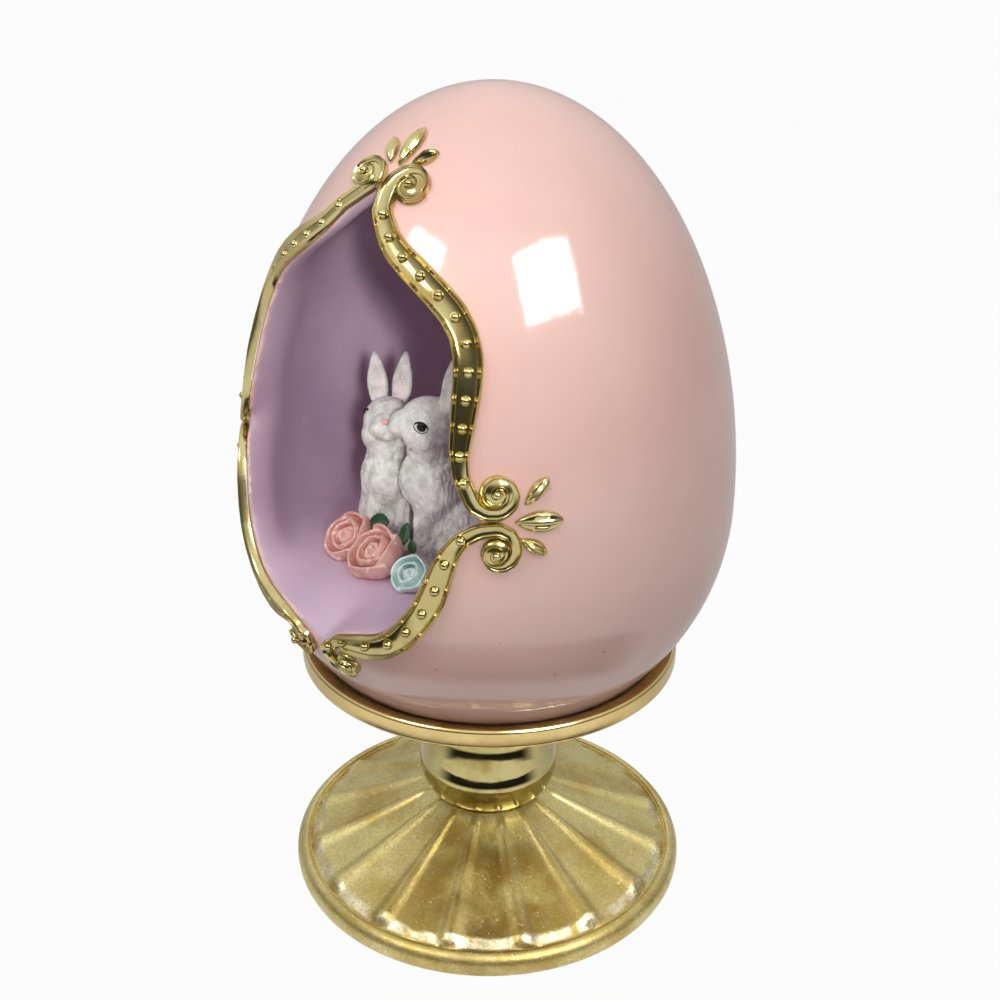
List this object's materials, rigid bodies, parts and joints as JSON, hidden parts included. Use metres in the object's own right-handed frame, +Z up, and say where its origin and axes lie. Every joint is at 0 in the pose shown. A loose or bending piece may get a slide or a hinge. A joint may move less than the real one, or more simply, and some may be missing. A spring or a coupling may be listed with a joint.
{
  "type": "easter egg on stand",
  "caption": "Hollow ornamental egg with a scrolled gilt window onto a rabbit and rose scene, resting in the cup of a fluted round stand.",
  "frame": {"origin": "middle of the stand's flat underside", "axes": "+Z up along the axis of egg and stand, -Y out of the window, +X to the right when facing the window"},
  "size_m": [0.116, 0.1151, 0.2],
  "materials": {
    "satin_gilt": "satin antique gold on cast resin",
    "polished_gilt": "polished gold on cast resin",
    "screw_steel": "zinc plated",
    "felt": "felt",
    "pink_gloss": "gloss enamel on cast resin",
    "white_glitter": "hand painted with glitter",
    "pink_petal": "hand painted, pearl",
    "blue_petal": "hand painted, pearl",
    "leaf_green": "hand painted"
  },
  "bodies": {
    "stand": {"foot": "satin_gilt", "stem": "polished_gilt", "cup": "polished_gilt", "stand_screw": "screw_steel", "base_felt": "felt"},
    "egg": {"egg_shell": "pink_gloss", "moulding_upper_right": "polished_gilt", "moulding_lower_right": "polished_gilt", "moulding_lower_left": "polished_gilt", "moulding_upper_left": "polished_gilt", "leaf_top_middle": "polished_gilt", "leaf_top_right": "polished_gilt", "leaf_top_left": "polished_gilt", "leaf_right_upper": "polished_gilt", "leaf_right_middle": "polished_gilt", "leaf_right_lower": "polished_gilt", "leaf_left_upper": "polished_gilt", "leaf_left_middle": "polished_gilt", "leaf_left_lower": "polished_gilt", "rabbit_left": "white_glitter", "rabbit_right": "white_glitter", "pink_rose_left": "pink_petal", "pink_rose_right": "pink_petal", "blue_rose": "blue_petal", "rose_leaf_left": "leaf_green", "rose_leaf_middle": "leaf_green", "rose_leaf_right": "leaf_green"}
  },
  "joints": [
    {"name": "egg_lift", "type": "slide", "parent": "stand", "child": "egg", "axis": [0, 0, 1], "range_m": [0, 0.06]}
  ]
}
